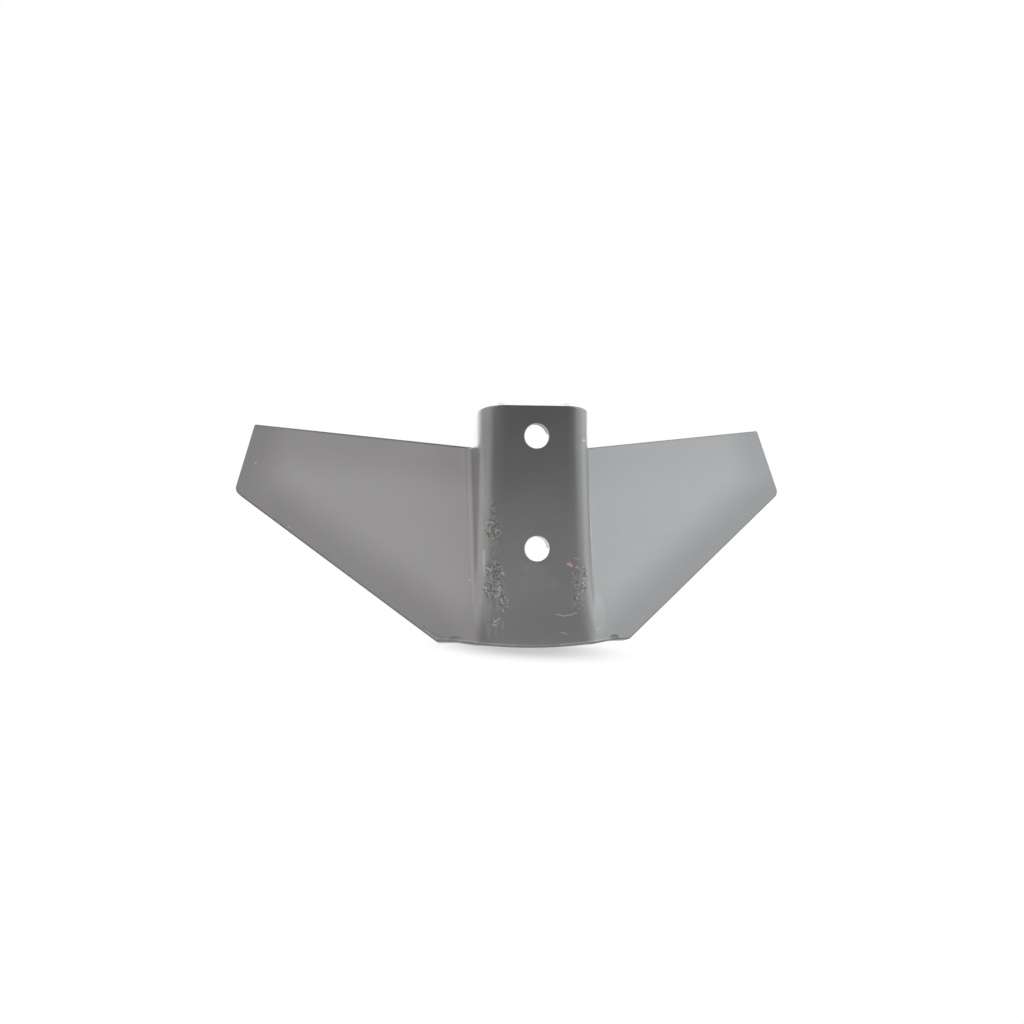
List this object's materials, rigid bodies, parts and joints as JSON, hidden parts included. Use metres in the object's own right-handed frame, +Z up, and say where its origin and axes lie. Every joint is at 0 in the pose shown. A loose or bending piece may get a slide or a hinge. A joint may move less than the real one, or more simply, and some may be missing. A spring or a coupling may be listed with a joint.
{
  "type": "cultivator sweep",
  "caption": "Pressed steel cultivator sweep: a channelled stem with bolt holes for a spring tine, a blunt nose and flat wings swept back to cut weeds.",
  "frame": {"origin": "on the stem's seat face, midway between the two bolt holes", "axes": "+Z up the stem, +Y back into the tine along the bolts, +X across the wings"},
  "size_m": [0.2484, 0.0541, 0.1037],
  "materials": {
    "grey_paint": "satin grey paint over rolled steel, scuffed and pitted along the stem"
  },
  "bodies": {
    "root": {"sweep": "grey_paint"}
  },
  "joints": []
}
